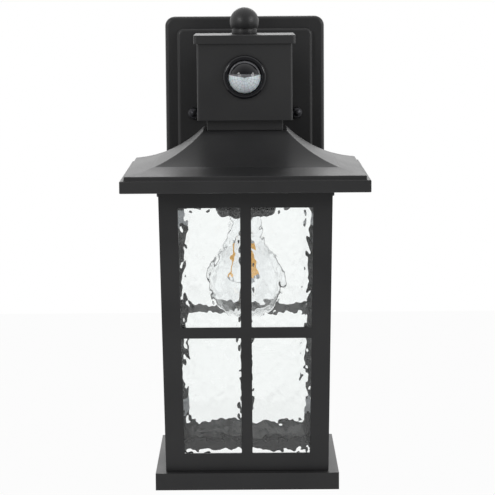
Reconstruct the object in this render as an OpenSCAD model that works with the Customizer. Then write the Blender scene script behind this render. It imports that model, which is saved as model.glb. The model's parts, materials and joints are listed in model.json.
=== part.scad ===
// Outdoor wall lantern with a motion-sensor head above its roof.
//
// Every piece is drawn about the lantern's own axis: x = y = 0 on the axis, z = 0 at the
// underside of the base, the front towards -Y and the wall towards +Y. place() then moves
// the origin to the wall, midway between the two mounting studs.

/* [Cage] */
// Width of the cage where it stands on the base
cage_w_bottom = 120; // [104:1:144]
// Width of the cage at the eave
cage_w_top = 127; // [106:1:152]
// Height from the top of the base to the underside of the eave
cage_h = 209; // [170:1:250]
// Thickness of the four window frames
frame_t = 2.5; // [2:0.1:3.5]
// Width of the upright stiles of a frame
stile_w = 14; // [12.5:0.5:18]
// Height of a frame's bottom rail
bottom_rail_h = 13.2; // [9:0.2:20]
// Visible height of a frame's top rail, below the eave
top_rail_h = 13.4; // [12:0.2:20]
// Width of the glazing bars
bar_w = 8; // [5:0.5:12]
// How far the cross bar lies below the middle of the window
cross_bar_drop = 1; // [0:0.5:20]
// Thickness of the rippled glass
glass_t = 3; // [2:0.1:4]
// Side of the square posts inside the corners
post_w = 8; // [7:0.5:9]

/* [Base] */
// Width of the base tray
base_w = 135; // [126:1:165]
// Height of the base tray
base_h = 12.6; // [10:0.2:20]
// Sheet thickness of the base tray
base_wall = 1.8; // [1.2:0.1:3]
// Width of the square opening that the bulb is changed through
base_hole_w = 94; // [70:1:96]

/* [Roof] */
// Width of the roof over its fascia
roof_w = 180; // [168:1:220]
// Height of the fascia
fascia_h = 8.8; // [6:0.2:14]
// Step back from the fascia to the lip above it
lip_inset = 3; // [1.5:0.5:6]
// Height of the lip
lip_h = 3; // [2:0.5:6]
// Rise of the curved slope above the lip
roof_rise = 28.6; // [24:0.2:40]
// Width of the flat top of the roof
roof_top_w = 62.6; // [60:0.2:70]
// Radius of the slope's hollow curve
roof_curve_r = 94; // [80:1:160]
// Wall thickness of the cast roof
roof_wall = 2; // [1.5:0.1:3]

/* [Neck and sensor box] */
// Width of the square neck between roof and box
neck_w = 56; // [44:1:58]
// Height of the neck
neck_h = 8; // [5:0.5:20]
// Width of the sensor box
box_w = 70; // [66:1:84]
// Height of the sensor box without its lid
box_h = 60; // [56:1:80]
// Wall thickness of the sensor box and neck
box_wall = 1.8; // [1.4:0.1:2.4]
// How far the lid stands out past the box on each side
lid_overhang = 2.3; // [2:0.1:4]
// Height of the lid over its skirt
lid_h = 6.2; // [4:0.2:12]
// Sheet thickness of the lid
lid_t = 1.5; // [1:0.1:2]
// Radius of the finial's ball
finial_r = 10.9; // [9.8:0.1:14]

/* [Motion sensor] */
// Outer radius of the sensor's bezel
bezel_r = 16; // [15:0.5:19]
// Radius of the domed lens
lens_r = 11.9; // [10:0.1:12.6]
// Height of the lens above the underside of the box
lens_height = 31.9; // [28:0.1:36]
// Radius of the two setting dials
dial_r = 5; // [4:0.5:6]

/* [Arm and wall plate] */
// Distance from the wall to the lantern's axis
reach = 125; // [116:1:170]
// Width of the square arm tube
arm_w = 36; // [32:1:40]
// Wall thickness of the arm tube
arm_wall = 1.8; // [1.4:0.1:2.4]
// Width of the wall plate
plate_w = 127; // [118:1:160]
// Height of the wall plate
plate_h = 153; // [146:1:200]
// Depth of the wall plate's rim
plate_depth = 16; // [14:0.5:22]
// Corner radius of the wall plate
plate_r = 7.5; // [6:0.5:14]
// Wall thickness of the wall plate
plate_wall = 2; // [1.5:0.1:3]
// Border around the plate's raised panel
panel_border = 9.6; // [8:0.2:14]
// Height of the raised panel above the rim
panel_rise = 5; // [3.5:0.5:8]
// Spacing of the two mounting studs
stud_spacing = 82; // [76:0.5:90]
// How far the studs lie below the underside of the sensor box
stud_drop = 2.3; // [0:0.1:8]
// Spacing of the slots for the junction box's screws
box_slot_spacing = 88.9; // [82:0.1:96]

/* [Lamp] */
// Radius of the bulb's globe
bulb_r = 29.5; // [24:0.5:32]
// Height from the bulb's tip to the rim of its screw cap
bulb_h = 79; // [72:1:90]
// Depth of the lampholder's rim below the windows' top edge
holder_drop = 11.5; // [8:0.5:20]

/* [Hidden] */
$fn = 72;
far = 400;
cut = 1;

// Clearances
fit = 0.05;            // shaft or screw in its own hole
gap = 0.3;             // pieces that pass each other
loose = 0.4;           // through hole for a screw

// Heights of the stack
eave_z = base_h + cage_h;
fascia_top_z = eave_z + fascia_h;
lip_top_z = fascia_top_z + lip_h;
roof_top_z = lip_top_z + roof_rise;
box_z = roof_top_z + neck_h;
box_top_z = box_z + box_h;
hanger_t = 1.5;
hanger_top_z = fascia_top_z - roof_wall;
cage_top_z = hanger_top_z - hanger_t;
window_z0 = base_h + bottom_rail_h;
window_z1 = eave_z - top_rail_h;
bar_z = (window_z0 + window_z1) / 2 - cross_bar_drop;
plate_z = box_z - stud_drop;
lens_z = box_z + lens_height;
arm_z = lens_z - 0.9;

// The cage leans outwards towards the top
lean = (cage_w_top - cage_w_bottom) / 2 / cage_h;
function half_w(z) = cage_w_bottom / 2 + (z - base_h) * lean;

// Wall plate, measured along Y
gasket_t = 1.5;
plate_back_y = reach - gasket_t;
rim_y = plate_back_y - plate_depth;
panel_y = rim_y - panel_rise;
panel_back_y = panel_y + plate_wall;
edge_r = 3;
bar_t = 2.5;
bar_y = reach - bar_t;
stud_r = 2;
grommet_r = 9;
ground_x = 18;
cap_ball_r = 4.75;
cap_seat_y = panel_y - 0.8;
stud_end_y = cap_seat_y - 4.6;

// Screws: shank radius, head radius, head height
m3 = [1.5, 2.9, 2];
m4 = [1.9, 3.9, 2.4];

// Screw ports in the arm, and the terminal block below the lower two
port_r = 3.2;
port_at = arm_w / 2 - arm_wall - 2.4;
terminal_pole = 10;
terminal_h = 12;
terminal_top_z = arm_z - port_at - m3[1] - 1;
terminal_z = terminal_top_z - terminal_h;

// Lamp
holder_z = window_z1 - holder_drop;
holder_h = 40;
globe_z = holder_z - bulb_h + bulb_r;
neck_in_r = 12.6;
neck_curve_r = 20;
cap_r = 13.05;
cap_h = 22;
cap_z = holder_z + 2;
envelope_t = 0.8;
contact_z = cap_z + cap_h + 2.3;
holder_bore_r = 14.2;
holder_body_r = 20.5;
holder_rim_r = 23.2;
holder_roof = 7;
holder_top_z = holder_z + holder_h;
bridge_z = holder_top_z + 3;
bridge_t = 1.6;
nipple_r = 5;
nut_t = 3;

// ---- Shared shapes ---------------------------------------------------------------------

// Moves a piece from the lantern's axis to the wall frame
module place() translate([0, -reach, -plate_z]) children();

// Turns a shape so that its +Z points forwards (-Y) and its flat +Y points up
module face_front(x, y, z) translate([x, y, z]) rotate([90, 0, 0]) children();

// Turns a shape so that its +Z points to the wall (+Y)
module face_wall(x, y, z) translate([x, y, z]) rotate([-90, 0, 0]) children();

// Flat rectangle with round corners
module round_rect(w, h, r) {
    square([w - 2 * r, h], center = true);
    square([w, h - 2 * r], center = true);
    for (sx = [-1, 1], sy = [-1, 1])
        translate([sx * (w / 2 - r), sy * (h / 2 - r)]) circle(r);
}

// Slab with round corners whose top edge is rounded by e
module soft_slab(w, h, r, t, e) {
    linear_extrude(t - e) round_rect(w, h, r);
    linear_extrude(t) round_rect(w - 2 * e, h - 2 * e, r - e);
    for (s = [-1, 1]) {
        translate([s * (w / 2 - e), 0, t - e]) rotate([90, 0, 0])
            cylinder(r = e, h = h - 2 * r, center = true);
        translate([0, s * (h / 2 - e), t - e]) rotate([0, 90, 0])
            cylinder(r = e, h = w - 2 * r, center = true);
    }
    for (sx = [-1, 1], sy = [-1, 1])
        translate([sx * (w / 2 - r), sy * (h / 2 - r), t - e]) rotate_extrude()
            intersection() {
                translate([r - e, 0]) circle(e);
                square([r, e]);
            }
}

// Bar of round section from p to q
module rod(p, q, r) {
    d = q - p;
    l = norm(d);
    translate(p) rotate([0, acos(d[2] / l), atan2(d[1], d[0])]) cylinder(r = r, h = l);
}

// Insulated lead: rings of eight points swept along a route that never runs along X
function unit(v) = v / norm(v);
function lead_ring(points, i, r) =
    let (last = len(points) - 1,
         before = i > 0 ? unit(points[i] - points[i - 1]) : unit(points[1] - points[0]),
         after = i < last ? unit(points[i + 1] - points[i]) : before,
         along = unit(before + after),
         u = unit(cross(along, [1, 0, 0])),
         v = cross(along, u))
    [for (k = [0 : 7]) points[i] + r * (cos(45 * k) * u + sin(45 * k) * v)];

module lead(points, r) {
    last = len(points) - 1;
    rings = [for (i = [0 : last]) each lead_ring(points, i, r)];
    sides = [for (i = [0 : last - 1], k = [0 : 7])
        [8 * i + k, 8 * i + (k + 1) % 8, 8 * i + 8 + (k + 1) % 8, 8 * i + 8 + k]];
    ends = [[7, 6, 5, 4, 3, 2, 1, 0], [for (k = [0 : 7]) 8 * last + k]];
    polyhedron(rings, concat(sides, ends));
}

// Pan-head screw, its head on +Z and its seat at z = 0
module pan_screw(size, length) {
    translate([0, 0, -length]) cylinder(r = size[0], h = length + size[2] / 2);
    difference() {
        cylinder(r1 = size[1], r2 = size[1] * 0.82, h = size[2]);
        for (a = [0, 90]) rotate(a) translate([0, 0, size[2]])
            cube([size[1] * 1.2, 0.8, size[2]], center = true);
    }
}

// Hexagon nut with its seat at z = 0
module hex_nut(flats, bore_r, t) difference() {
    cylinder(r = flats / sqrt(3), h = t, $fn = 6);
    translate([0, 0, -cut]) cylinder(r = bore_r, h = t + 2 * cut);
}

// Flat ring with its seat at z = 0
module washer(r, bore_r, t) difference() {
    cylinder(r = r, h = t);
    translate([0, 0, -cut]) cylinder(r = bore_r, h = t + 2 * cut);
}

// Leaning layer of the cage's front wall, from a to b behind its outer face
module wall_layer(a, b, z0 = base_h, z1 = cage_top_z)
    rotate([90, 0, 90]) linear_extrude(2 * far, center = true)
        polygon([[a - half_w(z0), z0], [a - half_w(z1), z1],
                 [b - half_w(z1), z1], [b - half_w(z0), z0]]);

// Where the front layer and the right layer cross, at the front right corner
module corner_cell(a0, a1, b0, b1, z0 = base_h, z1 = cage_top_z) intersection() {
    wall_layer(a0, a1, z0, z1);
    rotate(90) wall_layer(b0, b1, z0, z1);
}

// ---- Wall side -------------------------------------------------------------------------

module wall_plate() {
    panel_w = plate_w - 2 * panel_border;
    panel_h = plate_h - 2 * panel_border;
    color("#26262a") difference() {
        union() {
            face_front(0, plate_back_y, plate_z)
                soft_slab(plate_w, plate_h, plate_r, plate_depth, edge_r);
            face_front(0, rim_y + cut, plate_z)
                soft_slab(panel_w, panel_h, edge_r + 2, panel_rise + cut, edge_r - 0.5);
        }
        face_front(0, plate_back_y + cut, plate_z)
            linear_extrude(plate_depth - plate_wall + cut)
                round_rect(plate_w - 2 * plate_wall, plate_h - 2 * plate_wall,
                           plate_r - plate_wall);
        face_front(0, plate_back_y, plate_z)
            linear_extrude(plate_back_y - panel_back_y)
                round_rect(panel_w - 2 * plate_wall - 1, panel_h - 2 * plate_wall - 1, edge_r);
        for (s = [-1, 1]) face_front(s * stud_spacing / 2, plate_back_y, plate_z)
            cylinder(r = stud_r + loose, h = far);
        face_front(0, plate_back_y, arm_z) cylinder(r = grommet_r, h = far);
        arm_corners() face_front(0, plate_back_y, 0) cylinder(r = m3[0] + loose, h = far);
    }
}

module wall_gasket() color("#1b1b1c") face_front(0, reach, plate_z) linear_extrude(gasket_t)
    difference() {
        round_rect(plate_w - 0.6, plate_h - 0.6, plate_r);
        round_rect(plate_w - 9, plate_h - 9, plate_r - 3);
    }

// Flat steel cross: studs on the level arm, junction-box slots on the upright one
module cross_bar() {
    strap_w = 18;
    slot_l = 12;
    slot_w = 5;
    color("#b9bcc0") face_front(0, reach, plate_z) linear_extrude(bar_t) difference() {
        union() {
            round_rect(stud_spacing + 20, strap_w, 4);
            round_rect(strap_w, box_slot_spacing + slot_l + 12, 4);
        }
        for (s = [-1, 1]) {
            translate([s * stud_spacing / 2, 0]) circle(stud_r + fit);
            for (e = [-1, 1]) translate([0, s * box_slot_spacing / 2 + e * (slot_l - slot_w) / 2])
                circle(slot_w / 2);
            translate([0, s * box_slot_spacing / 2])
                square([slot_w, slot_l - slot_w], center = true);
        }
        translate([ground_x, 0]) circle(m4[0] + fit);
    }
}

module mounting_studs() color("#c9cbce") for (s = [-1, 1])
    face_front(s * stud_spacing / 2, reach, plate_z) cylinder(r = stud_r, h = reach - stud_end_y);

module stud_lock_nuts() color("#c9cbce") for (s = [-1, 1])
    face_front(s * stud_spacing / 2, bar_y, plate_z) hex_nut(7, stud_r + fit, nut_t);

module ground_screw() color("#2f8f4a")
    face_front(ground_x, bar_y, plate_z) pan_screw(m4, bar_t);

// Three-pole block behind the panel, where the house wiring is joined
module terminal_block() {
    w = 3 * terminal_pole;
    color("#e9e6dc") translate([-w / 2, panel_back_y, terminal_z]) difference() {
        cube([w, 10, terminal_h]);
        for (i = [0 : 2]) translate([(i + 0.5) * terminal_pole, 0, 0]) {
            translate([0, 5, -cut]) cylinder(r = 2, h = terminal_h - 4);
            translate([0, 8, terminal_h / 2]) rotate([-90, 0, 0]) cylinder(r = 1.8, h = 5);
        }
        for (i = [1 : 2]) translate([i * terminal_pole - 0.5, 7, -cut])
            cube([1, 4, terminal_h + 2 * cut]);
    }
}

module cap_nuts() color("#232326") for (s = [-1, 1])
    face_front(s * stud_spacing / 2, cap_seat_y, plate_z) difference() {
        union() {
            cylinder(r = 3.7, h = 2);
            translate([0, 0, cap_ball_r - 0.6]) intersection() {
                sphere(cap_ball_r);
                translate([0, 0, cap_ball_r - 3.4]) cube(2 * cap_ball_r, center = true);
            }
        }
        translate([0, 0, -cut]) cylinder(r = stud_r + fit, h = cap_seat_y - stud_end_y + 0.6 + cut);
    }

module cap_nut_washers() color("#17171a") for (s = [-1, 1])
    face_front(s * stud_spacing / 2, panel_y, plate_z)
        washer(5.2, stud_r + fit, panel_y - cap_seat_y);

// ---- Arm -------------------------------------------------------------------------------

// Repeats its children at the four screw ports of the arm
module arm_corners() for (sx = [-1, 1], sz = [-1, 1])
    translate([sx * port_at, 0, arm_z + sz * port_at]) children();

// Extruded square tube with a screw port in each corner
module arm_tube() color("#26262a") face_front(0, panel_y, arm_z)
    linear_extrude(panel_y - box_w / 2) difference() {
        union() {
            difference() {
                round_rect(arm_w, arm_w, 2);
                square(arm_w - 2 * arm_wall, center = true);
            }
            for (sx = [-1, 1], sy = [-1, 1]) translate([sx, sy] * port_at) circle(port_r);
        }
        for (sx = [-1, 1], sy = [-1, 1]) translate([sx, sy] * port_at) circle(m3[0] + fit);
    }

module arm_plate_screws() color("#c9cbce") arm_corners()
    face_wall(0, panel_back_y, 0) pan_screw(m3, 10);

module arm_box_screws() color("#c9cbce") arm_corners()
    face_front(0, box_w / 2 - box_wall, 0) pan_screw(m3, 10);

// Rubber rings that line the lead holes in the box's back and in the plate's panel
module grommet(wall) difference() {
    union() {
        translate([0, 0, -1.2]) cylinder(r = grommet_r + 1.8, h = 1.2);
        translate([0, 0, -cut]) cylinder(r = grommet_r - 0.1, h = wall + 2 * cut);
        translate([0, 0, wall]) cylinder(r = grommet_r + 1.8, h = 1.2);
    }
    translate([0, 0, -5]) cylinder(r = grommet_r - 2, h = wall + 10);
}

module lead_grommets() color("#1b1b1c") {
    face_wall(0, box_w / 2 - box_wall, arm_z) grommet(box_wall);
    face_wall(0, panel_y, arm_z) grommet(plate_wall);
}

// ---- Sensor box ------------------------------------------------------------------------

seal_t = 1;
lid_seat_z = box_top_z + seal_t;
lid_w = box_w + 2 * lid_overhang;
lid_top_z = lid_seat_z + lid_t;
strap_z = box_top_z - 8;
strap_t = 2;
lid_bolt_r = 2.5;
barrel_r = 13.4;
dial_x = box_w / 2 - 8;
dial_z = arm_z;
dial_shaft_r = 3;
pot_r = 6;
pot_l = 7;

module sensor_box() color("#26262a") difference() {
    translate([0, 0, box_z]) linear_extrude(box_h) round_rect(box_w, box_w, 1.6);
    translate([0, 0, box_z + box_wall]) linear_extrude(box_h)
        square(box_w - 2 * box_wall, center = true);
    translate([0, 0, box_z - cut]) cylinder(r = nipple_r + gap, h = 5);
    face_front(0, 0, lens_z) cylinder(r = barrel_r + gap, h = far);
    face_wall(0, 0, arm_z) cylinder(r = grommet_r, h = far);
    arm_corners() face_wall(0, 0, 0) cylinder(r = m3[0] + loose, h = far);
    for (s = [-1, 1]) face_wall(s * dial_x, 0, dial_z) cylinder(r = dial_shaft_r + 0.1, h = far);
}

// Folded strap across the box that holds the lid's bolt
module lid_strap() {
    span = box_w - 2 * box_wall;
    strap_w = 16;
    color("#b9bcc0") difference() {
        translate([0, 0, strap_z]) union() {
            translate([-span / 2, -strap_w / 2, 0]) cube([span, strap_w, strap_t]);
            for (s = [-1, 1]) translate([s * (span - strap_t) / 2, 0, -4])
                cube([strap_t, strap_w, 10 + 2 * strap_t], center = true);
        }
        cylinder(r = lid_bolt_r + fit, h = far);
    }
}

module lid_bolt() color("#c9cbce") {
    translate([0, 0, strap_z - 3]) cylinder(r = 8 / sqrt(3), h = 3, $fn = 6);
    translate([0, 0, strap_z - cut]) cylinder(r = lid_bolt_r, h = lid_top_z + 10 - strap_z + cut);
}

module box_lid() color("#26262a") difference() {
    translate([0, 0, lid_top_z - lid_h]) linear_extrude(lid_h) round_rect(lid_w, lid_w, 2.2);
    translate([0, 0, lid_top_z - lid_h - cut]) linear_extrude(lid_h - lid_t + cut)
        square(lid_w - 2 * lid_t, center = true);
    cylinder(r = lid_bolt_r + gap, h = far);
}

module lid_seal() color("#1b1b1c") translate([0, 0, box_top_z]) linear_extrude(seal_t)
    difference() {
        square(box_w - 0.6, center = true);
        square(box_w - 2 * box_wall - 3, center = true);
    }

// Ball on a collar, screwed down onto the lid
module finial() {
    collar_r = 9.4;
    collar_h = 4;
    groove_h = 0.6;
    ball_z = collar_h + groove_h + sqrt(finial_r * finial_r - 9.5 * 9.5) - 0.8;
    color("#232326") translate([0, 0, lid_top_z]) difference() {
        union() {
            cylinder(r = collar_r, h = collar_h);
            cylinder(r = collar_r - 0.9, h = ball_z);
            translate([0, 0, ball_z]) intersection() {
                sphere(finial_r);
                translate([0, 0, collar_h + groove_h - ball_z + far / 2])
                    cube(far, center = true);
            }
        }
        translate([0, 0, -cut]) cylinder(r = lid_bolt_r + 0.1, h = 12 + cut);
    }
}

// ---- Motion sensor ---------------------------------------------------------------------

bezel_h = 3.6;
lens_seat = 5;
barrel_l = 18;
board_t = 1.6;
board_y = barrel_l - box_w / 2;

// Places a shape drawn along the sensor's axis, its z = 0 on the face of the box
module sensor_axis() face_front(0, -box_w / 2, lens_z) children();

module sensor_bezel() color("#101012") sensor_axis() rotate_extrude() polygon([
    [lens_r + gap, -lens_seat], [lens_r - 1, -lens_seat], [lens_r - 1, -barrel_l],
    [barrel_r, -barrel_l], [barrel_r, 0], [bezel_r, 0], [bezel_r, bezel_h - 1.4],
    [bezel_r - 1.4, bezel_h], [lens_r + 1, bezel_h], [lens_r + gap, bezel_h - 1]]);

// Milky dome with a short skirt that seats in the barrel
module sensor_lens() color("#eef1f4") sensor_axis() difference() {
    union() {
        translate([0, 0, -lens_seat]) cylinder(r = lens_r, h = lens_seat + 2);
        translate([0, 0, 2]) sphere(lens_r);
    }
    translate([0, 0, -far / 2 - lens_seat]) cube(far, center = true);
    translate([0, 0, -lens_seat - cut]) cylinder(r = lens_r - 1, h = lens_seat + 2 + cut);
    translate([0, 0, 2]) sphere(lens_r - 1);
}

// Black half-moon mask over the upper part of the dome
module sensor_hood() {
    mask_r = lens_r - 1.2;
    mask_edge = 2.8;
    color("#0c0c0e") sensor_axis() intersection() {
        difference() {
            translate([0, 0, 2]) sphere(lens_r + 0.45);
            translate([0, 0, 2]) sphere(lens_r + fit);
        }
        translate([0, 0, 2]) cylinder(r = mask_r, h = lens_r + 2);
        translate([-lens_r, mask_edge, 0]) cube([2 * lens_r, lens_r, 2 * lens_r]);
    }
}

module sensor_ring_nut() color("#101012") sensor_axis() translate([0, 0, -box_wall - 4])
    difference() {
        cylinder(r = barrel_r + 4, h = 4, $fn = 12);
        translate([0, 0, -cut]) cylinder(r = barrel_r + fit, h = 4 + 2 * cut);
    }

module heat_sensor() color("#c9cbce") face_front(0, board_y, lens_z) {
    cylinder(r = 5, h = 0.6);
    cylinder(r = 4.4, h = 4.4);
}

module sensor_board() color("#1f6b3a") translate([-25, board_y, lens_z - 25])
    cube([50, board_t, 44]);

module board_relay() color("#2a62b8") translate([-22, board_y + board_t, lens_z - 2])
    cube([19, 15, 15.5]);

module board_capacitor() color("#2b2b30") face_wall(13, board_y + board_t, lens_z + 6)
    cylinder(r = 6.5, h = 16);

module dial_pots() color("#3a6ea8") for (s = [-1, 1])
    face_wall(s * dial_x, box_w / 2 - box_wall - pot_l, dial_z) difference() {
        cylinder(r = pot_r, h = pot_l);
        translate([0, 0, pot_l - 4.5]) cylinder(r = dial_shaft_r + 0.1, h = 5);
    }

// Setting dial with a pointer slot, on a shaft through the box's back
module dial(s) color("#17171a") face_wall(s * dial_x, box_w / 2, dial_z) difference() {
    union() {
        translate([0, 0, -box_wall - 4]) cylinder(r = dial_shaft_r, h = 8);
        translate([0, 0, 0.4]) cylinder(r = dial_r, h = 6);
    }
    translate([-0.6, 0, 5.4]) cube([1.2, dial_r + cut, 2]);
}

// ---- Neck and roof ---------------------------------------------------------------------

module neck_collar() color("#26262a") translate([0, 0, roof_top_z]) linear_extrude(neck_h)
    difference() {
        square(neck_w, center = true);
        square(neck_w - 2 * box_wall, center = true);
    }

// Centre of the slope's curve: its arc runs from the lip's edge to the flat top
slope_foot = [roof_w / 2 - lip_inset, lip_top_z];
slope_head = [roof_top_w / 2, roof_top_z];
slope_chord = norm(slope_head - slope_foot);
slope_normal = [slope_head[1] - slope_foot[1], slope_foot[0] - slope_head[0]] / slope_chord;
slope_centre = (slope_foot + slope_head) / 2
    + slope_normal * sqrt(roof_curve_r * roof_curve_r - slope_chord * slope_chord / 4);

// Right half of the roof's section, pulled in by t for the inside of the shell
module half_section(t) {
    translate([0, eave_z - (t > 0 ? cut : 0)])
        square([roof_w / 2 - t, fascia_h - t + (t > 0 ? cut : 0)]);
    difference() {
        polygon([[0, fascia_top_z - t], [slope_foot[0] - t, fascia_top_z - t],
                 [slope_foot[0] - t, slope_foot[1]], [slope_head[0], slope_head[1] - t],
                 [0, slope_head[1] - t]]);
        translate(slope_centre) circle(roof_curve_r + t, $fn = 180);
    }
}

// Two crossed extrusions of the section leave a hipped, hollow-curved roof
module roof_body(t) intersection_for (turn = [0, 90]) rotate(turn) rotate([90, 0, 0])
    linear_extrude(2 * roof_w, center = true) {
        half_section(t);
        mirror([1, 0]) half_section(t);
    }

module roof() color("#26262a") difference() {
    roof_body(0);
    roof_body(roof_wall);
    translate([0, 0, roof_top_z - 5]) cylinder(r = nipple_r + gap, h = 10);
}

// ---- Hanger under the roof -------------------------------------------------------------

tab_in = frame_t + 0.2;
tab_t = 1.5;
tab_z = window_z1 + 2.8;
cage_screw_z = window_z1 + 5.6;
foot_x = 34;
strap_half_w = 10;

module hanger_plate() color("#26262a") difference() {
    union() {
        translate([0, 0, cage_top_z]) linear_extrude(hanger_t)
            square(roof_w - 2 * roof_wall - 2 * gap, center = true);
        for (turn = [0 : 90 : 270]) rotate(turn) intersection() {
            wall_layer(tab_in, tab_in + tab_t, tab_z, cage_top_z + hanger_t / 2);
            translate([0, 0, tab_z]) linear_extrude(far)
                square([2 * (half_w(base_h) - frame_t - post_w - 2), far], center = true);
        }
    }
    translate([0, 0, cage_top_z - cut]) cylinder(r = holder_body_r + 3, h = 5);
    rotate([0, 90, 0]) translate([-cage_screw_z, 0, -far / 2]) cylinder(r = m4[0] + fit, h = far);
    for (s = [-1, 1]) translate([s * foot_x, 0, cage_top_z - cut])
        cylinder(r = m4[0] + fit, h = 5);
}

// Side screws with their washers that hold the cage to the hanger's tabs
module cage_screws() {
    seat = half_w(cage_screw_z) + 0.1;
    color("#1b1b1e") for (s = [-1, 1]) rotate(s * 90) face_front(0, -seat, cage_screw_z) {
        washer(4.6, m4[0], 0.8);
        translate([0, 0, 0.8]) pan_screw([m4[0], m4[1], 2.8], 0.8 + frame_t + tab_t + 3);
    }
}

module socket_bracket() {
    leg_x = foot_x - 7;
    color("#b9bcc0") difference() {
        union() {
            translate([-leg_x, -strap_half_w, bridge_z])
                cube([2 * leg_x, 2 * strap_half_w, bridge_t]);
            for (s = [-1, 1]) {
                translate([s * (leg_x - bridge_t / 2), 0, (hanger_top_z + bridge_z + bridge_t) / 2])
                    cube([bridge_t, 2 * strap_half_w, bridge_z + bridge_t - hanger_top_z],
                         center = true);
                translate([s * (leg_x + 6), 0, hanger_top_z + bridge_t / 2])
                    cube([14, 2 * strap_half_w, bridge_t], center = true);
            }
        }
        translate([0, 0, bridge_z - cut]) cylinder(r = nipple_r + gap, h = 5);
        for (s = [-1, 1]) translate([s * foot_x, 0, hanger_top_z - cut])
            cylinder(r = m4[0] + loose, h = 5);
    }
}

module bracket_screws() color("#c9cbce") for (s = [-1, 1])
    translate([s * foot_x, 0, hanger_top_z + bridge_t]) pan_screw(m4, bridge_t + hanger_t + 1);

// Hollow threaded rod that pulls box, neck, roof and hanger together
nipple_z = holder_top_z - 6;
nipple_top_z = box_z + box_wall + 8;

module nipple() color("#c2a04e") translate([0, 0, nipple_z]) difference() {
    cylinder(r = nipple_r, h = nipple_top_z - nipple_z);
    translate([0, 0, -cut]) cylinder(r = nipple_r - 1.5, h = far);
}

module nipple_nuts() color("#c2a04e")
    for (z = [bridge_z - nut_t, bridge_z + bridge_t, roof_top_z - roof_wall - nut_t,
              box_z + box_wall])
        translate([0, 0, z]) hex_nut(14, nipple_r + fit, nut_t);

// ---- Lampholder ------------------------------------------------------------------------

module lampholder() color("#141416") translate([0, 0, holder_z]) rotate_extrude() polygon([
    [holder_bore_r, 0], [holder_rim_r - 0.8, 0], [holder_rim_r, 0.8], [holder_rim_r, 5.2],
    [holder_rim_r - 0.8, 6], [holder_body_r, 6.8], [holder_body_r, holder_h - 6],
    [holder_body_r - 3, holder_h - 4], [9, holder_h - 4], [9, holder_h],
    [nipple_r + fit, holder_h], [nipple_r + fit, holder_h - holder_roof],
    [holder_bore_r, holder_h - holder_roof]]);

module lampholder_shell() color("#c9a857") translate([0, 0, holder_z + 3]) difference() {
    cylinder(r = holder_bore_r - 0.1, h = 27);
    translate([0, 0, -cut]) cylinder(r = holder_bore_r - 0.75, h = 26.2 + cut);
    cylinder(r = 8, h = 40);
}

// Brass tongue above the bulb's contact
module lampholder_contact() color("#c9a857") {
    z = contact_z + gap;
    t = 0.8;
    stem_x = nipple_r + 2;
    translate([0, 0, z]) cylinder(r = 4, h = t);
    translate([0, -2, z]) cube([stem_x + t, 4, t]);
    translate([stem_x, -2, z]) cube([t, 4, holder_top_z - holder_roof - z]);
}

// Leads from the lampholder up through the nipple to the sensor board
module lamp_leads() for (s = [-1, 1]) color(s < 0 ? "#e8e8e8" : "#1b1b1e") lead([
    [s * 1.5, 0, nipple_z + 1], [s * 1.5, 0, nipple_top_z + 2], [s * 5, -4, nipple_top_z + 6],
    [s * 8, -9, nipple_top_z + 9], [s * 8, board_y + board_t, nipple_top_z + 9]], 1);

// Leads from the sensor board through the arm to the terminal block
module supply_leads() for (s = [-1, 0, 1]) color(["#e8e8e8", "#2f8f4a", "#1b1b1e"][s + 1]) lead([
    [12 + s * 4, board_y + board_t, lens_z - 9], [12 + s * 4, -6, lens_z - 9],
    [s * 4, 14, arm_z - 4], [s * 4, box_w / 2 - 6, arm_z + 1], [s * 4, panel_y - 4, arm_z + 1],
    [s * 4, panel_back_y + 3, arm_z - 1],
    [s * terminal_pole, panel_back_y + 5, terminal_top_z + 5],
    [s * terminal_pole, panel_back_y + 5, terminal_top_z]], 1.2);

// ---- Cage ------------------------------------------------------------------------------

// Opening between the stile on side s and the middle bar, from z0 up to z1
module pane_hole(s, z0, z1) rotate([90, 0, 0]) linear_extrude(far)
    polygon([[s * bar_w / 2, z0], [s * (half_w(z0) - stile_w), z0],
             [s * (half_w(z1) - stile_w), z1], [s * bar_w / 2, z1]]);

// One mitred window frame with a cross of glazing bars
module window_frame(turn, screwed = false) color("#26262a") rotate(turn) difference() {
    intersection() {
        wall_layer(0, frame_t);
        linear_extrude(far) polygon([[0, 0], [-far, -far], [far, -far]]);
    }
    for (s = [-1, 1]) {
        pane_hole(s, window_z0, bar_z - bar_w / 2);
        pane_hole(s, bar_z + bar_w / 2, window_z1);
    }
    if (screwed) face_front(0, 0, cage_screw_z) cylinder(r = m4[0] + loose, h = far);
}

// Pane behind a frame: it stands on the base and ends below the hanger's tab
module window_glass(turn) {
    edge_in = frame_t + post_w + loose;
    top = tab_z - gap;
    color([0.85, 0.92, 0.93, 0.4]) rotate(turn) intersection() {
        wall_layer(frame_t, frame_t + glass_t, base_h, top);
        rotate([90, 0, 0]) linear_extrude(far)
            polygon([[edge_in - half_w(base_h), base_h], [half_w(base_h) - edge_in, base_h],
                     [half_w(top) - edge_in, top], [edge_in - half_w(top), top]]);
    }
}

post_mid = half_w(base_h) - frame_t - post_w / 2;
base_screw_l = 12;

module corner_posts() color("#26262a") for (turn = [0 : 90 : 270]) rotate(turn) difference() {
    corner_cell(frame_t, frame_t + post_w, frame_t, frame_t + post_w);
    translate([post_mid, -post_mid, base_h - cut]) cylinder(r = m3[0] + fit, h = base_screw_l);
}

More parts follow.
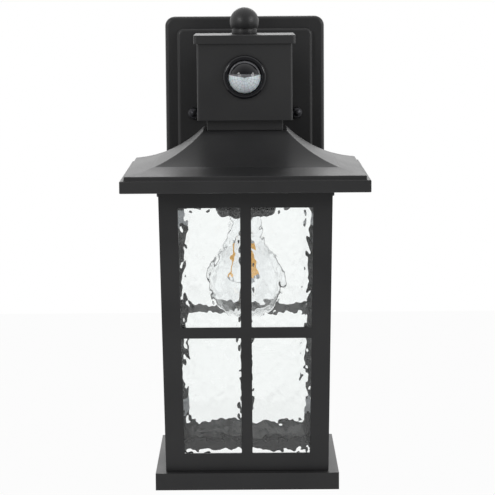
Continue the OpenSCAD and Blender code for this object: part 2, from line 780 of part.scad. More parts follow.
// Folded tabs on the posts that hold the panes against the frames
module glass_clips() {
    clip_h = 12;
    clip_t = 1;
    lip = 3.4;
    face = frame_t + glass_t;
    side = frame_t + post_w;
    color("#b9bcc0") for (turn = [0 : 90 : 270], flip = [0, 1],
                          z = [window_z0 + 14, window_z1 - 20])
        rotate(turn) mirror([flip, 0, 0]) {
            corner_cell(face, face + clip_t, side, side + lip, z - clip_h / 2, z + clip_h / 2);
            corner_cell(face, side, side, side + clip_t, z - clip_h / 2, z + clip_h / 2);
        }
}

// Upturned tray with a square opening; the cage stands on it
module base_tray() color("#26262a") difference() {
    translate([-base_w / 2, -base_w / 2, 0]) cube([base_w, base_w, base_h]);
    translate([0, 0, -cut]) linear_extrude(base_h - base_wall + cut)
        square(base_w - 2 * base_wall, center = true);
    linear_extrude(far) round_rect(base_hole_w, base_hole_w, 6);
    for (sx = [-1, 1], sy = [-1, 1]) translate([sx, sy] * post_mid)
        cylinder(r = m3[0] + loose, h = far);
}

module base_screws() color("#c9cbce") for (sx = [-1, 1], sy = [-1, 1])
    translate([sx * post_mid, sy * post_mid, base_h - base_wall]) mirror([0, 0, 1])
        pan_screw(m3, base_wall + base_screw_l - 2);

// ---- Bulb ------------------------------------------------------------------------------

// Half outline of the envelope, pulled in by t for its inside
module envelope_half(t) {
    curve_r = neck_curve_r + t;
    neck_r = neck_in_r - t;
    globe_r = bulb_r - t;
    dx = neck_r + curve_r;
    dz = sqrt((globe_r + curve_r) * (globe_r + curve_r) - dx * dx);
    touch = [dx, dz] * globe_r / (globe_r + curve_r);
    top = cap_z + 2 - globe_z;
    translate([0, globe_z]) intersection() {
        union() {
            circle(globe_r);
            difference() {
                polygon([[0, 0], touch, [dx, dz], [neck_r, dz], [0, dz]]);
                translate([dx, dz]) circle(curve_r);
            }
            translate([0, dz - 0.5]) square([neck_r, top - dz + 0.5 + (t > 0 ? cut : 0)]);
        }
        translate([0, -bulb_r - cut]) square([bulb_r + cut, 2 * bulb_h]);
    }
}

module bulb_glass() color([0.95, 0.97, 1, 0.3]) rotate_extrude() difference() {
    envelope_half(0);
    envelope_half(envelope_t);
}

// Screw cap: a collar round the envelope's neck and four rolled thread ridges
module bulb_cap() {
    pitch = 3.63;
    ridges = 4;
    steps = 6;
    wall = 0.35;
    depth = 0.42;
    neck_top = 4;
    thread_z = neck_top + 0.8;
    inner_r = cap_r - 2 * depth - wall;
    cap_tip_r = 10;
    wave = [for (i = [0 : ridges * steps])
        [cap_r - depth + depth * cos(360 * (i / steps - 0.5)), thread_z + i * pitch / steps]];
    color("#c9cbce") translate([0, 0, cap_z + 2 - neck_top]) rotate_extrude() difference() {
        polygon(concat([[0, 0], [cap_r - 0.1, 0], [cap_r - 0.1, thread_z - 0.4]], wave,
                       [[cap_tip_r, cap_h], [0, cap_h]]));
        translate([0, -cut]) square([neck_in_r + fit, neck_top + cut]);
        polygon([[0, neck_top - cut], [inner_r, neck_top - cut],
                 [inner_r, thread_z + ridges * pitch], [cap_tip_r - wall, cap_h - wall],
                 [0, cap_h - wall]]);
    }
}

// Black glass bead and the solder contact on its end
module bulb_contact() color("#2a2a2e") translate([0, 0, cap_z + cap_h - 2]) {
    cylinder(r1 = 9.4, r2 = 5.6, h = 2.8);
    translate([0, 0, 2.8]) cylinder(r1 = 5, r2 = 3.6, h = 1.5);
}

// Glass stem, four light sticks and their support wires, all fixed inside the envelope
module bulb_filament_mount() {
    stick_r = 0.9;
    high = globe_z + 29;
    low = globe_z + 1;
    color("#f0c070") {
        translate([0, 0, high + 4]) cylinder(r1 = 3.4, r2 = 4.2, h = cap_z - high - 9);
        translate([0, 0, cap_z - 5 - fit]) cylinder(r1 = 4.2, r2 = 11.4, h = 6);
        translate([0, 0, low - 4]) cylinder(r = 1.5, h = high - low + 10);
        for (a = [58 : 90 : 328]) {
            top = [7.5 * cos(a), 7.5 * sin(a), high];
            foot = [10.5 * cos(a), 10.5 * sin(a), low];
            rod(top, foot, stick_r);
            rod([0, 0, high + 6], top, 0.35);
            rod([0, 0, low - 3], foot, 0.35);
        }
    }
}

// ---- Pieces ----------------------------------------------------------------------------

place() {
    wall_plate();
    wall_gasket();
    cross_bar();
    mounting_studs();
    stud_lock_nuts();
    ground_screw();
    terminal_block();
    cap_nuts();
    cap_nut_washers();
    arm_tube();
    arm_plate_screws();
    arm_box_screws();
    lead_grommets();
    sensor_box();
    lid_strap();
    lid_bolt();
    box_lid();
    lid_seal();
    finial();
    sensor_bezel();
    sensor_lens();
    sensor_hood();
    sensor_ring_nut();
    heat_sensor();
    sensor_board();
    board_relay();
    board_capacitor();
    dial_pots();
    dial(-1);  // time_dial
    dial(1);  // light_dial
    neck_collar();
    roof();
    hanger_plate();
    cage_screws();
    socket_bracket();
    bracket_screws();
    nipple();
    nipple_nuts();
    lampholder();
    lampholder_shell();
    lampholder_contact();
    lamp_leads();
    supply_leads();
    window_frame(0);  // front_frame
    window_frame(90, true);  // right_frame
    window_frame(180);  // rear_frame
    window_frame(270, true);  // left_frame
    window_glass(0);  // front_glass
    window_glass(90);  // right_glass
    window_glass(180);  // rear_glass
    window_glass(270);  // left_glass
    corner_posts();
    glass_clips();
    base_tray();
    base_screws();
    bulb_cap();
    bulb_contact();
    bulb_glass();
    bulb_filament_mount();
}
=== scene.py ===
# %% [markdown]
# # A wall lantern with a motion sensor
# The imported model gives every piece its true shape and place. This lesson adds what a maker
# would see and touch: rounded edges, powder coat, rippled glass, a clear bulb and the little
# faceted lens of the sensor. Every length is in metres, in the same frame as the model: the
# wall is the plane y = 0, the lantern hangs in front of it towards -Y, and +Z is up.

# %% Load the frame
import json
import math

import bmesh
import bpy
from mathutils import Matrix, Vector, noise

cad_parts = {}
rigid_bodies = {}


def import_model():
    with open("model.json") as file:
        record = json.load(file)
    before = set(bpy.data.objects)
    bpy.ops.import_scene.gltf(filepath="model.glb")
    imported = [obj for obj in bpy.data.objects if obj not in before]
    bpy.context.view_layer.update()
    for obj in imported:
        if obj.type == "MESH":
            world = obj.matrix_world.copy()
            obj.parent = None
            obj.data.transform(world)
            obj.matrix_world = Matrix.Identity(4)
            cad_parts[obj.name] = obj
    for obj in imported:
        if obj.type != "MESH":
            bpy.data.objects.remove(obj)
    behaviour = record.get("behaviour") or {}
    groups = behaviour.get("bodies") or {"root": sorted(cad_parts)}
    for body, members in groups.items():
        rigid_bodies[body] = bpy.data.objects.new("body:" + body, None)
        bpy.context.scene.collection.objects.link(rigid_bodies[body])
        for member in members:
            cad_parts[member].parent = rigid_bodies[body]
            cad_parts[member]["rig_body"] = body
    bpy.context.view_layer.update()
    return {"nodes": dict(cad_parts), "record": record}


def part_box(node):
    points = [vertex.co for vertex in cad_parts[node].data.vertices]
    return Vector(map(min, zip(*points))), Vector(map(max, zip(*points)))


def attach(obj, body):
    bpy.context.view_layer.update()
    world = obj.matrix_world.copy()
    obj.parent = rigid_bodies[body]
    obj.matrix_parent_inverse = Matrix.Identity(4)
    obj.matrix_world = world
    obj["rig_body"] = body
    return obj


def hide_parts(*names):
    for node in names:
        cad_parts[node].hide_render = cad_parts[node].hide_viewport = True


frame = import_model()
nodes = frame["nodes"]
MM = 0.001

# %% [markdown]
# ## The lantern's axis
# Most pieces are square or round about one upright axis. Its place is measured from the roof's
# box, so it follows the model.

# %% Find the axis
roof_low, roof_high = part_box("roof")
AXIS = Vector(((roof_low.x + roof_high.x) / 2, (roof_low.y + roof_high.y) / 2, 0))
print("axis at", tuple(round(v, 4) for v in AXIS))

# %% [markdown]
# ## Camera
# A long lens from a little above the lantern keeps its upright lines nearly parallel. The
# camera looks down by seven degrees and is rolled by a fraction of a degree.

# %% Place the camera
CAMERA_PLACE = Vector((2.25 * MM, -1708.4 * MM, 100.7 * MM))
LOOK_DOWN, ROLL = math.radians(7.09), math.radians(-0.396)
TURN = math.radians(-0.037)
forward = Vector((math.sin(TURN) * math.cos(LOOK_DOWN), math.cos(TURN) * math.cos(LOOK_DOWN),
                  -math.sin(LOOK_DOWN)))
level_right = forward.cross(Vector((0, 0, 1))).normalized()
level_up = level_right.cross(forward)
right = math.cos(ROLL) * level_right + math.sin(ROLL) * level_up
up = -math.sin(ROLL) * level_right + math.cos(ROLL) * level_up

camera = bpy.data.objects.new("camera", bpy.data.cameras.new("camera"))
camera.data.lens = 153.05
camera.data.sensor_width = 36
camera.matrix_world = Matrix.Translation(CAMERA_PLACE) @ Matrix(
    (right, up, -forward)).transposed().to_4x4()
bpy.context.scene.collection.objects.link(camera)
bpy.context.scene.camera = camera
print("camera", tuple(round(v, 3) for v in camera.location))

# %% [markdown]
# ## Shader maths
# A material is a small graph of nodes. Two helpers keep it readable: `Value` wraps a socket so
# that `1 - mask` or `grain * 0.5` adds the Math nodes, and `Finish` owns one material and adds
# every other node through one method.

# %% Wrap sockets and materials
class Value:
    """A number in a shader. Sums, differences and products of it add Math nodes."""

    def __init__(self, finish, socket):
        self.finish, self.socket = finish, socket

    def maths(self, operation, first, second):
        return self.finish.add("ShaderNodeMath", {"operation": operation}, {0: first, 1: second})

    def __add__(self, other):
        return self.maths("ADD", self, other)

    def __sub__(self, other):
        return self.maths("SUBTRACT", self, other)

    def __rsub__(self, other):
        return self.maths("SUBTRACT", other, self)

    def __mul__(self, other):
        return self.maths("MULTIPLY", self, other)

    __radd__, __rmul__ = __add__, __mul__


class Finish:
    """One material: its Principled shader and the nodes that feed it."""

    def __init__(self, name):
        self.material = bpy.data.materials.new(name)
        self.material.use_nodes = True
        self.tree = self.material.node_tree
        self.shader = self.tree.nodes["Principled BSDF"]

    def feed(self, socket, value):
        if isinstance(value, Value):
            self.tree.links.new(value.socket, socket)
        else:
            socket.default_value = value

    def add(self, kind, settings=None, inputs=None, output=0):
        node = self.tree.nodes.new(kind)
        for key, value in (settings or {}).items():
            if key == "stops":
                for stop, (place, level) in zip(node.color_ramp.elements, value):
                    stop.position, stop.color = place, (level, level, level, 1)
            else:
                setattr(node, key, value)
        for key, value in (inputs or {}).items():
            self.feed(node.inputs[key], value)
        return Value(self, node.outputs[output])

    def coords(self, stretch=(1, 1, 1)):
        place = self.add("ShaderNodeTexCoord", output="Object")
        return self.add("ShaderNodeMapping", {}, {"Vector": place, "Scale": stretch})

    def noise(self, per_metre, detail=2, stretch=(1, 1, 1)):
        return self.add("ShaderNodeTexNoise", {},
                        {"Vector": self.coords(stretch), "Scale": per_metre, "Detail": detail})

    def ramp(self, value, low, high):
        """0 below low, 1 above high."""
        return self.add("ShaderNodeValToRGB", {"stops": ((low, 0), (high, 1))}, {"Fac": value})

    def blend(self, mask, first, second):
        return self.add("ShaderNodeMix", {"data_type": "RGBA"},
                        {0: mask, 6: (*first, 1), 7: (*second, 1)}, output=2)

    def bump(self, height, strength, depth):
        return self.add("ShaderNodeBump", {},
                        {"Height": height, "Strength": strength, "Distance": depth})

    def set(self, sockets):
        for key, value in sockets.items():
            self.feed(self.shader.inputs[key], value)
        return self.material


# %% [markdown]
# ## Powder coat
# Powder coat is paint that is sprayed on dry and melted in an oven. It is black and satin, with
# a fine leather-like grain about half a millimetre across, over a slower ripple like the skin of
# an orange. Both are bumps. A faint cloud in the colour and the gloss keeps wide faces alive.

# %% Mix the powder coat
def powder_coat(name, tone, gloss):
    finish = Finish(name)
    grain = finish.noise(1500, detail=2)
    peel = finish.noise(330, detail=2)
    cloud = finish.ramp(finish.noise(16, detail=3), 0.35, 0.65)
    dark = (tone * 0.88, tone * 0.88, tone * 0.92)
    light = (tone * 1.12, tone * 1.12, tone * 1.16)
    return finish.set({
        "Base Color": finish.blend(cloud, dark, light),
        "Roughness": grain * 0.12 + cloud * 0.05 + (gloss - 0.08),
        "Specular IOR Level": 0.5,
        "Normal": finish.bump(grain * 0.6 + peel * 0.4, 0.45, 0.12 * MM)})


coat = powder_coat("black_powder_coat", 0.020, 0.40)
print("mixed", coat.name)

# %% [markdown]
# ## Metals
# Zinc plating is a bright grey with a crystal bloom, brass is warmer and a little brushed, and
# black hardware is zinc with a dark dip. All of them are one recipe with different numbers.

# %% Mix the metals
def plated_metal(name, dark, light, gloss, brushed=(1, 1, 1)):
    finish = Finish(name)
    bloom = finish.ramp(finish.noise(700, detail=4, stretch=brushed), 0.35, 0.7)
    return finish.set({
        "Base Color": finish.blend(bloom, dark, light),
        "Metallic": 1.0,
        "Roughness": bloom * 0.15 + gloss,
        "Normal": finish.bump(bloom, 0.15, 0.03 * MM)})


zinc = plated_metal("zinc_plate", (0.48, 0.50, 0.53), (0.66, 0.67, 0.69), 0.28)
brass = plated_metal("brass", (0.62, 0.44, 0.17), (0.80, 0.62, 0.30), 0.24, (1, 1, 0.15))
cap_metal = plated_metal("bulb_cap_metal", (0.60, 0.61, 0.63), (0.78, 0.79, 0.80), 0.2)
green_zinc = plated_metal("green_screw", (0.05, 0.26, 0.09), (0.12, 0.42, 0.18), 0.35)
black_zinc = plated_metal("black_hardware", (0.035, 0.035, 0.04), (0.07, 0.07, 0.075), 0.3)
print("mixed", [m.name for m in (zinc, brass, cap_metal, green_zinc, black_zinc)])

# %% [markdown]
# ## Plastics and rubber
# Moulded parts differ in colour, gloss and the fineness of the mould's texture.

# %% Mix the plastics
def moulding(name, colour, gloss, texture=900, depth=0.02, variety=0.12):
    finish = Finish(name)
    mottle = finish.noise(texture, detail=3)
    darker = [c * (1 - variety) for c in colour]
    lighter = [min(1, c * (1 + variety)) for c in colour]
    return finish.set({
        "Base Color": finish.blend(finish.ramp(mottle, 0.3, 0.7), darker, lighter),
        "Roughness": mottle * 0.1 + (gloss - 0.05),
        "Normal": finish.bump(mottle, 0.3, depth * MM)})


gloss_black = moulding("gloss_black_plastic", (0.008, 0.008, 0.010), 0.10, 300, 0.004)
matt_black = moulding("black_plastic", (0.018, 0.018, 0.020), 0.5)
rubber = moulding("black_rubber", (0.020, 0.020, 0.021), 0.75, 1200, 0.05)
cream = moulding("cream_plastic", (0.74, 0.69, 0.57), 0.4, variety=0.04)
blue = moulding("blue_plastic", (0.03, 0.13, 0.45), 0.3)
board_green = moulding("circuit_board", (0.02, 0.20, 0.07), 0.35, 260, 0.03, 0.3)
wire_skin = moulding("lead_insulation", (0.30, 0.28, 0.26), 0.4)
holder_black = moulding("lampholder_resin", (0.012, 0.012, 0.013), 0.28, 500, 0.02)
print("mixed the plastics")

# %% [markdown]
# ## Glass
# Clear glass is a Principled shader that transmits everything and bends light by its index.
# The ripple isn't in the material: it is cut into the panes further down, because only a real
# wavy surface breaks up what is behind it. The material adds only the finest seeds.

# %% Mix the glass
def clear_glass(name, tint, seeds):
    finish = Finish(name)
    fine = finish.noise(420, detail=2, stretch=(1, 1, 0.6))
    return finish.set({
        "Base Color": (*tint, 1), "Roughness": 0.0, "IOR": 1.5, "Transmission Weight": 1.0,
        "Normal": finish.bump(fine, seeds, 0.05 * MM)})


pane_glass = clear_glass("rippled_glass", (0.975, 0.99, 0.985), 0.25)
thin_glass = clear_glass("bulb_glass", (0.99, 0.995, 1.0), 0.02)
print("mixed the glass")

# %% [markdown]
# ## The sensor's lens and the bulb's light sticks
# The lens is milky so that it hides the sensor but passes its heat rays. The light sticks are
# glass slivers under a yellow skin of phosphor. The bulb is unlit, and a weak orange emission
# paints a glow on them in place of the light they let through.

# %% Mix the milky plastic and the phosphor
milky = moulding("milky_plastic", (0.74, 0.80, 0.84), 0.22, 600, 0.01, 0.05)
# Painted shade: the grooves between lenslets get a greyer copy of the milky plastic.
seam_shade_paint = moulding("milky_seam_painted_shade", (0.34, 0.38, 0.40), 0.35, 600, 0.01, 0.05)
# Painted shade: a dark grey copy of the milky plastic stands for the hood's shade on the lens's
# upper half.
hood_shade_paint = moulding("painted_hood_shade", (0.16, 0.16, 0.17), 0.2, 600, 0.01, 0.05)
milky.node_tree.nodes["Principled BSDF"].inputs["Subsurface Weight"].default_value = 0.15
milky.node_tree.nodes["Principled BSDF"].inputs["Subsurface Scale"].default_value = 1.5 * MM
phosphor = moulding("light_stick", (0.95, 0.55, 0.14), 0.4, 2500, 0.02, 0.1)
# Painted glow: the bulb is unlit, and a weak orange emission stands for light through the sticks.
painted_glow = phosphor.node_tree.nodes["Principled BSDF"].inputs
painted_glow["Emission Color"].default_value = (1.0, 0.55, 0.16, 1)
painted_glow["Emission Strength"].default_value = 0.45
print("mixed", milky.name, phosphor.name)

# %% [markdown]
# ## Dress the plain nodes
# A node whose shape is right keeps its mesh. Its slot in the record names its finish.

# %% Give each node its finish
finishes = {
    "black_powder_coat": coat, "black_hardware": black_zinc, "zinc_steel": zinc,
    "green_screw": green_zinc, "brass": brass, "rippled_glass": pane_glass,
    "bulb_glass": thin_glass, "bulb_metal": cap_metal, "light_stick": phosphor,
    "gloss_black_plastic": gloss_black, "milky_plastic": milky, "black_plastic": matt_black,
    "cream_plastic": cream, "black_rubber": rubber, "circuit_board": board_green,
    "blue_plastic": blue, "lead_insulation": wire_skin}
slot_of = {part["node"]: part["material_slot"] for part in frame["record"]["subparts"]}
for name, node in nodes.items():
    node.data.materials.clear()
    node.data.materials.append(finishes[slot_of[name]])
nodes["lampholder"].data.materials[0] = holder_black
print("dressed", len(nodes), "nodes")

# %% [markdown]
# ## Softened edges
# Folded and cast metal has no knife edges, and the coat rounds them further. Each of these
# pieces starts from a merged copy of its node's mesh: coplanar triangles become one face, and
# every sharp edge gets a small round. Those thin rounds catch the light at the corners.

# %% Round the edges of the coated pieces
def show(piece, body, slot, *replaced):
    """Puts a new piece on its body and hides the nodes that it stands for."""
    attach(piece, body)
    if replaced:
        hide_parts(*replaced)
    return piece


def new_piece(name, bm, finish, smooth_angle=40):
    mesh = bpy.data.meshes.new(name)
    for face in bm.faces:
        face.smooth = True
    bm.to_mesh(mesh)
    bm.free()
    mesh.set_sharp_from_angle(angle=math.radians(smooth_angle))
    mesh.materials.append(finish)
    piece = bpy.data.objects.new(name, mesh)
    bpy.context.scene.collection.objects.link(piece)
    return piece


FLAT_ENOUGH, SHARP_ENOUGH = math.radians(0.5), math.radians(28)


def soften(node, radius, segments=3):
    bm = bmesh.new()
    bm.from_mesh(nodes[node].data)
    bmesh.ops.remove_doubles(bm, verts=bm.verts, dist=0.002 * MM)
    bmesh.ops.dissolve_limit(bm, angle_limit=FLAT_ENOUGH, verts=bm.verts, edges=bm.edges)
    sharp = [edge for edge in bm.edges
             if len(edge.link_faces) == 2 and edge.calc_face_angle() > SHARP_ENOUGH]
    bmesh.ops.bevel(bm, geom=sharp, offset=radius, offset_type="OFFSET", affect="EDGES",
                    segments=segments, profile=0.5, material=-1, clamp_overlap=True)
    piece = new_piece(node + "_soft", bm, nodes[node].data.materials[0])
    weighted = piece.modifiers.new("even shading", "WEIGHTED_NORMAL")
    weighted.keep_sharp = True
    return show(piece, nodes[node]["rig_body"], slot_of[node], node)


EDGE_ROUNDS = {
    "roof": 0.7, "base_tray": 0.7, "front_frame": 0.45, "rear_frame": 0.45, "left_frame": 0.45,
    "right_frame": 0.45, "sensor_box": 0.5, "box_lid": 0.55, "neck_collar": 0.5,
    "arm_tube": 0.4, "wall_plate": 0.4, "sensor_bezel": 0.45, "hanger_plate": 0.3,
    "cross_bar": 0.3, "time_dial": 0.3, "light_dial": 0.3, "corner_posts": 0.3}
for node, radius in EDGE_ROUNDS.items():
    soften(node, radius * MM)
print("softened", len(EDGE_ROUNDS), "pieces")

# %% [markdown]
# ## Rippled panes
# Water glass is rolled while soft, so one face is flat and the other has slow swells under a
# fine chop. A grid follows the pane, which is narrower at its foot and leans with the cage.
# Each grid point is pushed into the glass by layered noise. The grid's rim is then pulled back
# to the flat face, and one face closes it.

# %% Cut the ripples
CELL = 0.75 * MM
PANE_T = 3 * MM


def ripple_depth(x, z, seed):
    """How far the surface lies below its highest ridge, in metres."""
    swell = noise.noise(Vector((x / 0.021, z / 0.030, seed)))
    wave = noise.noise(Vector((x / 0.0075, z / 0.0115, seed + 7.3)))
    chop = noise.noise(Vector((x / 0.0031, z / 0.0042, seed + 19.1)))
    return max(0.03, 0.70 + 0.30 * swell + 0.24 * wave + 0.17 * chop) * MM


def rippled_pane(node, turn, seed):
    low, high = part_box("front_glass")
    height = high.z - low.z
    front_top = AXIS.y - low.y
    front_foot = AXIS.y - (high.y - PANE_T)
    spread = front_top - front_foot
    half_top = high.x
    columns, rows = int(2 * half_top / CELL), int(height / CELL)
    bm = bmesh.new()
    bmesh.ops.create_grid(bm, x_segments=columns, y_segments=rows, size=0.5)
    rim = [edge for edge in bm.edges if edge.is_boundary]
    grown = bmesh.ops.extrude_edge_only(bm, edges=rim)["geom"]
    back = {vert for vert in grown if isinstance(vert, bmesh.types.BMVert)}
    loop = [edge for edge in grown if isinstance(edge, bmesh.types.BMEdge)]
    for vert in bm.verts:
        across, along = vert.co.x, vert.co.y + 0.5
        x = across * 2 * (half_top - spread * (1 - along))
        z = low.z + along * height
        face_y = front_foot + spread * along
        depth = PANE_T if vert in back else ripple_depth(x, z, seed)
        vert.co = Vector((x, depth - face_y, z))
    bmesh.ops.contextual_create(bm, geom=loop)
    bmesh.ops.recalc_face_normals(bm, faces=bm.faces)
    place = Matrix.Translation(AXIS) @ Matrix.Rotation(turn, 4, "Z")
    bmesh.ops.transform(bm, matrix=place, verts=bm.verts)
    piece = new_piece(node + "_rippled", bm, pane_glass, smooth_angle=50)
    return show(piece, "lantern", "rippled_glass", node)


SIDES = {"front_glass": 0, "right_glass": 90, "rear_glass": 180, "left_glass": 270}
for count, (node, degrees) in enumerate(SIDES.items()):
    pane = rippled_pane(node, math.radians(degrees), 3.7 + 11.3 * count)
print("pane of", len(pane.data.polygons), "faces")

# %% [markdown]
# ## Finial
# The ball on the lid is turned from one piece with its collar and a thin groove. A profile of
# a few points and one arc is spun round the axis.

# %% Turn the finial
def spun(name, profile, finish, steps=72, smooth_angle=40):
    """Spins an outline of (radius, height) points, closed at the axis or on itself."""
    bm = bmesh.new()
    verts = [bm.verts.new((radius, 0, height)) for radius, height in profile]
    edges = [bm.edges.new(pair) for pair in zip(verts, verts[1:])]
    bmesh.ops.spin(bm, geom=verts + edges, cent=(0, 0, 0), axis=(0, 0, 1),
                   angle=2 * math.pi, steps=steps, use_merge=True)
    bmesh.ops.remove_doubles(bm, verts=bm.verts, dist=0.001 * MM)
    bmesh.ops.recalc_face_normals(bm, faces=bm.faces)
    return new_piece(name, bm, finish, smooth_angle)


def arc(centre, radius, start, end, steps):
    """Points on an arc, with angles in degrees from the outward radius."""
    angles = [math.radians(start + (end - start) * i / steps) for i in range(steps + 1)]
    return [(centre[0] + radius * math.cos(a), centre[1] + radius * math.sin(a)) for a in angles]


def moved(piece, place):
    piece.data.transform(place)
    return piece


low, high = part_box("finial")
ball_r = (high.x - low.x) / 2
ball_z = high.z - ball_r
collar_r, collar_h, groove_h, groove_in = 9.4 * MM, 4 * MM, 0.6 * MM, 0.9 * MM
cut = math.degrees(math.asin((ball_z - low.z - collar_h - groove_h) / ball_r))
outline = ([(0, low.z), (collar_r - 0.4 * MM, low.z)]
           + arc((collar_r - 0.4 * MM, low.z + 0.4 * MM), 0.4 * MM, -90, 0, 3)
           + arc((collar_r - 0.5 * MM, low.z + collar_h - 0.5 * MM), 0.5 * MM, 0, 90, 4)
           + [(collar_r - groove_in, low.z + collar_h),
              (collar_r - groove_in, low.z + collar_h + groove_h)]
           + arc((0, ball_z), ball_r, -cut, 90, 40))
outline[-1] = (0, high.z)
finial = moved(spun("finial_turned", outline, coat, steps=96), Matrix.Translation(AXIS))
show(finial, "finial", "black_powder_coat", "finial")
print("ball radius", round(ball_r / MM, 2), "mm")

# %% [markdown]
# ## Faceted sensor lens
# The dome is moulded with rings of flat lenslets that each look at one patch of ground. It is
# half of a ball with few segments, each face set in a little to leave the seams between the
# lenslets, over a plain round skirt. The seams get a greyer colour that paints shade into the
# grooves. The upper half sits behind a black hood, so its faces get a dark grey colour that paints
# the hood's shade on them, and only a grey line of it shows.

# %% Mould the lens
LENSLETS_ROUND, LENSLET_RINGS = 18, 14
SEAM_WIDTH, SEAM_DEPTH, LENS_WALL = 0.17 * MM, 0.12 * MM, 0.8 * MM
HOOD_EDGE = 0.5 * MM
low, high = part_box("sensor_lens")
lens_r = (high.x - low.x) / 2
lens_centre = Vector(((low.x + high.x) / 2, low.y + lens_r, (low.z + high.z) / 2))
bm = bmesh.new()
bmesh.ops.create_uvsphere(bm, u_segments=LENSLETS_ROUND, v_segments=LENSLET_RINGS,
                          radius=lens_r)
bmesh.ops.bisect_plane(bm, geom=bm.verts[:] + bm.edges[:] + bm.faces[:], plane_co=(0, 0, 0),
                       plane_no=(0, 0, -1), clear_outer=True, dist=0.001 * MM)
lenslets = bm.faces[:]
rim = [edge for edge in bm.edges if edge.is_boundary]
skirt = bmesh.ops.extrude_edge_only(bm, edges=rim)["geom"]
bmesh.ops.translate(bm, vec=(0, 0, -(high.y - lens_centre.y)),
                    verts=[v for v in skirt if isinstance(v, bmesh.types.BMVert)])
grooves = bmesh.ops.inset_individual(bm, faces=lenslets, thickness=SEAM_WIDTH,
                                     depth=-SEAM_DEPTH)
# The groove faces take the greyer painted seam shade.
for face in grooves["faces"]:
    face.material_index = 1
bmesh.ops.recalc_face_normals(bm, faces=bm.faces)
bmesh.ops.solidify(bm, geom=bm.faces[:], thickness=LENS_WALL)
place = Matrix.Translation(lens_centre) @ Matrix.Rotation(math.pi / 2, 4, "X")
bmesh.ops.transform(bm, matrix=place, verts=bm.verts)
# Faces above the hood's edge take the dark grey painted hood shade.
for face in bm.faces:
    if face.calc_center_median().z > lens_centre.z + HOOD_EDGE:
        face.material_index = 2
lens = new_piece("sensor_lens_faceted", bm, milky, smooth_angle=9)
lens.data.materials.append(seam_shade_paint)
lens.data.materials.append(hood_shade_paint)
show(lens, "lantern", "milky_plastic", "sensor_lens")
print("lens of", len(lens.data.polygons), "faces")

# %% [markdown]
# ## Inside the bulb
# Three phosphor sticks lean round a glass stem. Thin wires hold each stick: one set comes from
# the stem's shoulder to the upper ends, and the other joins the lower ends. The sticks are round
# rods with metal ferrules, so each is a spun outline that is then tilted into place.

# %% Fill the bulb
mount_low, mount_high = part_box("bulb_filament_mount")
globe_low, globe_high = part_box("bulb_glass")
globe_z = globe_low.z + (globe_high.x - globe_low.x) / 2
STICK_TOP, STICK_FOOT = globe_z + 29 * MM, globe_z + 1 * MM
TOP_RING, FOOT_RING = 8.5 * MM, 11.5 * MM
STICK_R, FERRULE_R, WIRE_R = 1.05 * MM, 1.15 * MM, 0.25 * MM


def between(start, end):
    """The matrix that lays a shape drawn up the Z axis from one point towards another."""
    turn = Vector((0, 0, 1)).rotation_difference(end - start)
    return Matrix.Translation(start) @ turn.to_matrix().to_4x4()


def rod(name, start, end, radius, finish, steps=12):
    length = (end - start).length
    outline = [(0, 0), (radius, 0), (radius, length), (0, length)]
    return moved(spun(name, outline, finish, steps), between(start, end))


def joined(name, parts):
    """Makes one piece of several, with all their materials."""
    with bpy.context.temp_override(active_object=parts[0], selected_editable_objects=parts):
        bpy.ops.object.join()
    parts[0].name = name
    return parts[0]


def ring_point(radius, degrees, height):
    angle = math.radians(degrees)
    return Vector((AXIS.x + radius * math.cos(angle), AXIS.y + radius * math.sin(angle), height))


sticks, wires = [], []
crown = Vector((AXIS.x, AXIS.y, STICK_TOP + 6 * MM))
tail = Vector((AXIS.x, AXIS.y, STICK_FOOT - 3 * MM))
for degrees in (55, 175, 295):
    top = ring_point(TOP_RING, degrees, STICK_TOP)
    foot = ring_point(FOOT_RING, degrees, STICK_FOOT)
    length = (foot - top).length
    half = STICK_R * 0.5
    outline = ([(0, 0)] + arc((half, half), half, -90, 0, 4)
               + arc((half, length - half), half, 0, 90, 4) + [(0, length)])
    sticks.append(moved(spun("stick", outline, phosphor, 20), between(top, foot)))
    down = (foot - top).normalized()
    wires.append(rod("ferrule", top - down * 1.6 * MM, top + down * 1.2 * MM, FERRULE_R, zinc))
    wires.append(rod("ferrule", foot - down * 1.2 * MM, foot + down * 1.6 * MM, FERRULE_R, zinc))
    wires.append(rod("wire", crown, top - down * 1.4 * MM, WIRE_R, zinc, 8))
    wires.append(rod("wire", tail, foot + down * 1.4 * MM, WIRE_R, zinc, 8))
show(joined("bulb_light_sticks", sticks), "bulb", "light_stick", "bulb_filament_mount")
show(joined("bulb_support_wires", wires), "bulb", "zinc_steel")

stem_top = mount_high.z
outline = ([(0, mount_low.z)]
           + arc((0.7 * MM, mount_low.z + 0.8 * MM), 0.8 * MM, -90, 0, 4)
           + [(1.3 * MM, crown.z - 4 * MM), (2.6 * MM, crown.z), (3.4 * MM, crown.z + 4 * MM),
              (3.6 * MM, stem_top - 9 * MM), (4.6 * MM, stem_top - 5 * MM),
              (7.5 * MM, stem_top - 1.8 * MM), (11.2 * MM, stem_top - 0.4 * MM),
              (11.2 * MM, stem_top), (0, stem_top)])
stem = moved(spun("bulb_stem_glass", outline, thin_glass, 48), Matrix.Translation(AXIS))
show(stem, "bulb", "bulb_glass")
print("bulb globe centre at", round(globe_z / MM, 1), "mm")

# %% [markdown]
# ## Studio
# The lantern hangs in a white tent. The world is plain white to the camera, to mirror rays and
# through glass. On the camera's side the tent is dark, as it is round a real camera, so mirror
# rays find little there. Two soft lamps in front give the finial its two glints and draw the
# bright lines down the corners. A third, behind, lights the tops. A pale floor lies far below.

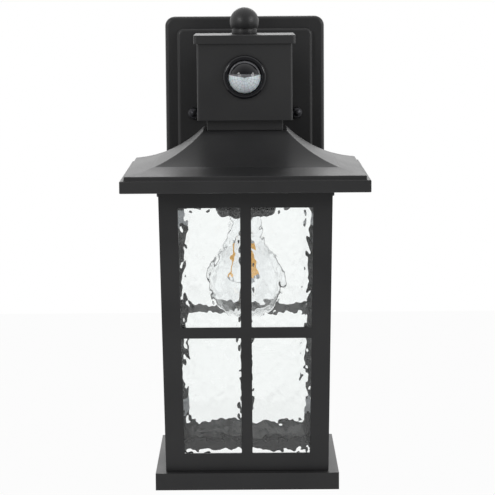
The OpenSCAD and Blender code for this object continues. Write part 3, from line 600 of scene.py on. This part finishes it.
# %% Light the tent
world = bpy.data.worlds.new("tent")
bpy.context.scene.world = world
world.use_nodes = True
tent = world.node_tree
backdrop = tent.nodes["Background"]
paths = tent.nodes.new("ShaderNodeLightPath")
direction = tent.nodes.new("ShaderNodeTexCoord")
split = tent.nodes.new("ShaderNodeSeparateXYZ")
tent.links.new(direction.outputs["Generated"], split.inputs[0])


def tent_maths(operation, *values):
    node = tent.nodes.new("ShaderNodeMath")
    node.operation = operation
    for socket, value in zip(node.inputs, values):
        if isinstance(value, bpy.types.NodeSocket):
            tent.links.new(value, socket)
        else:
            socket.default_value = value
    return node.outputs[0]


TENT_FRONT, TENT_BACK, TENT_DIFFUSE = 0.22, 1.0, 0.60
behind = tent_maths("SMOOTH_MIN", tent_maths("MULTIPLY_ADD", split.outputs["Y"], 0.9, 0.75), 1, 0.2)
front_back = tent_maths("MULTIPLY_ADD", tent_maths("MAXIMUM", behind, 0),
                        TENT_BACK - TENT_FRONT, TENT_FRONT)
plain_view = tent_maths("MAXIMUM", paths.outputs["Is Camera Ray"],
                        paths.outputs["Is Transmission Ray"])
glossy = tent_maths("MULTIPLY", paths.outputs["Is Glossy Ray"], front_back)
seen = tent_maths("MAXIMUM", plain_view, glossy)
hidden = tent_maths("SUBTRACT", 1, tent_maths("MAXIMUM", plain_view, paths.outputs["Is Glossy Ray"]))
strength = tent_maths("MULTIPLY_ADD", hidden, TENT_DIFFUSE, seen)
tent.links.new(strength, backdrop.inputs["Strength"])
backdrop.inputs["Color"].default_value = (1, 1, 1, 1)


def soft_lamp(name, place, aim, size, power):
    lamp = bpy.data.objects.new(name, bpy.data.lights.new(name, "AREA"))
    lamp.data.shape = "RECTANGLE"
    lamp.data.size, lamp.data.size_y = size
    lamp.data.energy = power
    lamp.location = place
    lamp.rotation_euler = (Vector(aim) - Vector(place)).to_track_quat("-Z", "Z").to_euler()
    lamp.visible_camera = False
    lamp.visible_transmission = False
    bpy.context.scene.collection.objects.link(lamp)


MIDDLE = (0, AXIS.y, -0.06)
soft_lamp("left lamp", (-0.95, -1.25, 0.55), MIDDLE, (0.35, 0.7), 6)
soft_lamp("right lamp", (1.35, -0.95, 0.55), MIDDLE, (0.35, 0.7), 6.5)
soft_lamp("back lamp", (0.0, 1.5, 0.75), MIDDLE, (1.2, 0.5), 4)

floor_finish = Finish("pale_floor")
speckle = floor_finish.ramp(floor_finish.noise(6, detail=3), 0.4, 0.6)
floor_finish.set({"Base Color": floor_finish.blend(speckle, (0.86, 0.86, 0.86), (0.89, 0.89, 0.89)),
                  "Roughness": 0.9})
white = floor_finish.add("ShaderNodeEmission", {}, {"Color": (1, 1, 1, 1), "Strength": 1.0})
straight = floor_finish.add("ShaderNodeLightPath", output="Is Camera Ray")
through = floor_finish.add("ShaderNodeLightPath", output="Is Transmission Ray")
rays = straight + through
both = floor_finish.add("ShaderNodeMixShader", {}, {
    0: rays * 0.94, 1: Value(floor_finish, floor_finish.shader.outputs[0]), 2: white})
floor_finish.feed(floor_finish.tree.nodes["Material Output"].inputs["Surface"], both)
bm = bmesh.new()
bmesh.ops.create_grid(bm, x_segments=1, y_segments=1, size=6)
bmesh.ops.translate(bm, vec=(0, 0, -1.1), verts=bm.verts)
floor = new_piece("floor", bm, floor_finish.material)
bpy.context.scene.view_settings.view_transform = "Standard"
print("tent ready")
